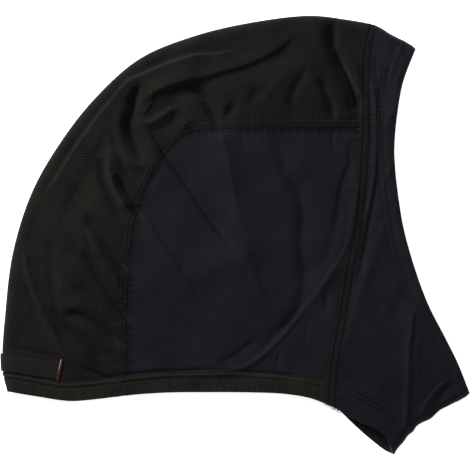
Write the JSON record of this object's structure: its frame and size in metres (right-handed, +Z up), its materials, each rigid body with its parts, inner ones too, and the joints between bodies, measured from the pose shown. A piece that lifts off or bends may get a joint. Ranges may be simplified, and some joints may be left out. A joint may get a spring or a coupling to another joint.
{
  "type": "helmet liner",
  "caption": "Stretch under-helmet liner hood with an open face and a ribbed neck band, lying on its side folded flat along its middle line.",
  "frame": {"origin": "on the surface that the liner lies on, under the middle of its outline", "axes": "+X from the back of the head towards the face opening, +Y from the neck towards the crown, +Z up, out of the liner's right side"},
  "size_m": [0.2815, 0.2631, 0.0262],
  "materials": {
    "mesh_knit": "matte fine mesh knit, olive black",
    "stretch_knit": "smooth matte stretch knit, blue black",
    "ribbed_elastic": "ribbed woven elastic, olive black",
    "seam_thread": "black polyester flatlock thread",
    "label_tape": "plain charcoal woven tape",
    "tack_thread": "red thread with a pale edge"
  },
  "bodies": {
    "root": {"crown_panel": "mesh_knit", "side_panel_right": "stretch_knit", "side_panel_left": "stretch_knit", "face_panel": "stretch_knit", "nape_band": "ribbed_elastic", "crown_seam_right": "seam_thread", "crown_seam_left": "seam_thread", "front_seam": "seam_thread", "label": "label_tape", "bar_tack": "tack_thread"}
  },
  "joints": []
}
